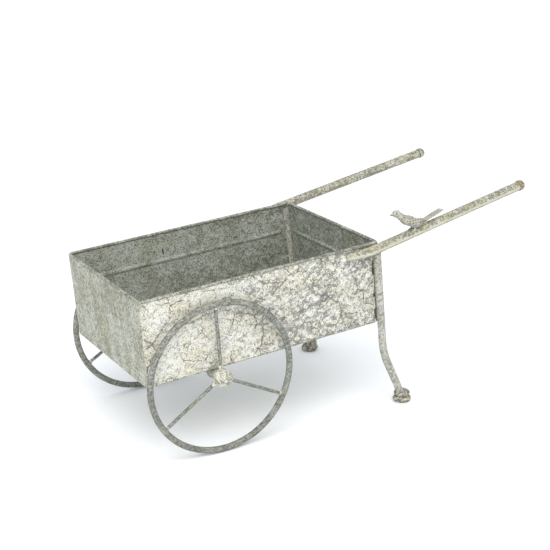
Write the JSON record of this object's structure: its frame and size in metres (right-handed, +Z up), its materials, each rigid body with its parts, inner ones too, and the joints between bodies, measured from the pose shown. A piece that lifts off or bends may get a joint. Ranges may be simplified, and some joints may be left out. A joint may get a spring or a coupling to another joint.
{
  "type": "garden wheelbarrow planter",
  "caption": "Small decorative sheet-metal garden barrow: open tub on two spoked wheels and two legs, raised tube handles, one with a bird",
  "frame": {"origin": "middle of the object's footprint, at ground level", "axes": "+X to the rear, where the handles are; +Y to the barrow's right as its user stands behind it; +Z up"},
  "size_m": [0.571, 0.2708, 0.2787],
  "materials": {
    "embossed_sheet": "matt antiqued cream-grey paint rubbed over dark grey, embossed all over",
    "rolled_edge": "matt antiqued cream-grey, worn to grey on the bead",
    "embossed_tube": "antiqued cream-grey, embossed, warmer than the tub",
    "tube_cap": "antiqued, browner and darker than the tube",
    "leg_tube": "antiqued grey, brushed",
    "foot_casting": "antiqued grey, darker in the groove",
    "weld": "painted weld, light",
    "wheel_tube": "antiqued grey-green, pale patches",
    "hub_metal": "antiqued cream, pitted",
    "axle_steel": "dull steel",
    "bird_casting": "antiqued grey casting, pale on the relief"
  },
  "bodies": {
    "barrow": {"side_panel_left": "embossed_sheet", "side_panel_right": "embossed_sheet", "front_panel": "embossed_sheet", "rear_panel": "embossed_sheet", "floor_panel": "embossed_sheet", "rim_bead": "rolled_edge", "handle_left": "embossed_tube", "handle_cap_left": "tube_cap", "leg_left": "leg_tube", "foot_left": "foot_casting", "leg_welds_left": "weld", "axle_bracket_left": "leg_tube", "axle_spacer_left": "axle_steel", "axle_washer_left": "axle_steel", "axle_pin_left": "axle_steel", "handle_right": "embossed_tube", "handle_cap_right": "tube_cap", "leg_right": "leg_tube", "foot_right": "foot_casting", "leg_welds_right": "weld", "axle_bracket_right": "leg_tube", "axle_spacer_right": "axle_steel", "axle_washer_right": "axle_steel", "axle_pin_right": "axle_steel", "axle": "axle_steel", "bird": "bird_casting"},
    "wheel_left": {"wheel_rim_left": "wheel_tube", "hub_left": "hub_metal", "hub_cap_left": "hub_metal", "spoke_left_1": "wheel_tube", "spoke_left_2": "wheel_tube", "spoke_left_3": "wheel_tube"},
    "wheel_right": {"wheel_rim_right": "wheel_tube", "hub_right": "hub_metal", "hub_cap_right": "hub_metal", "spoke_right_1": "wheel_tube", "spoke_right_2": "wheel_tube", "spoke_right_3": "wheel_tube"}
  },
  "joints": [
    {"name": "wheel_left_spin", "type": "hinge", "parent": "barrow", "child": "wheel_left", "pos_m": [-0.1831, -0.1199, 0.1], "axis": [0, 1, 0], "continuous": true},
    {"name": "wheel_right_spin", "type": "hinge", "parent": "barrow", "child": "wheel_right", "pos_m": [-0.1831, 0.1199, 0.1], "axis": [0, 1, 0], "continuous": true}
  ]
}
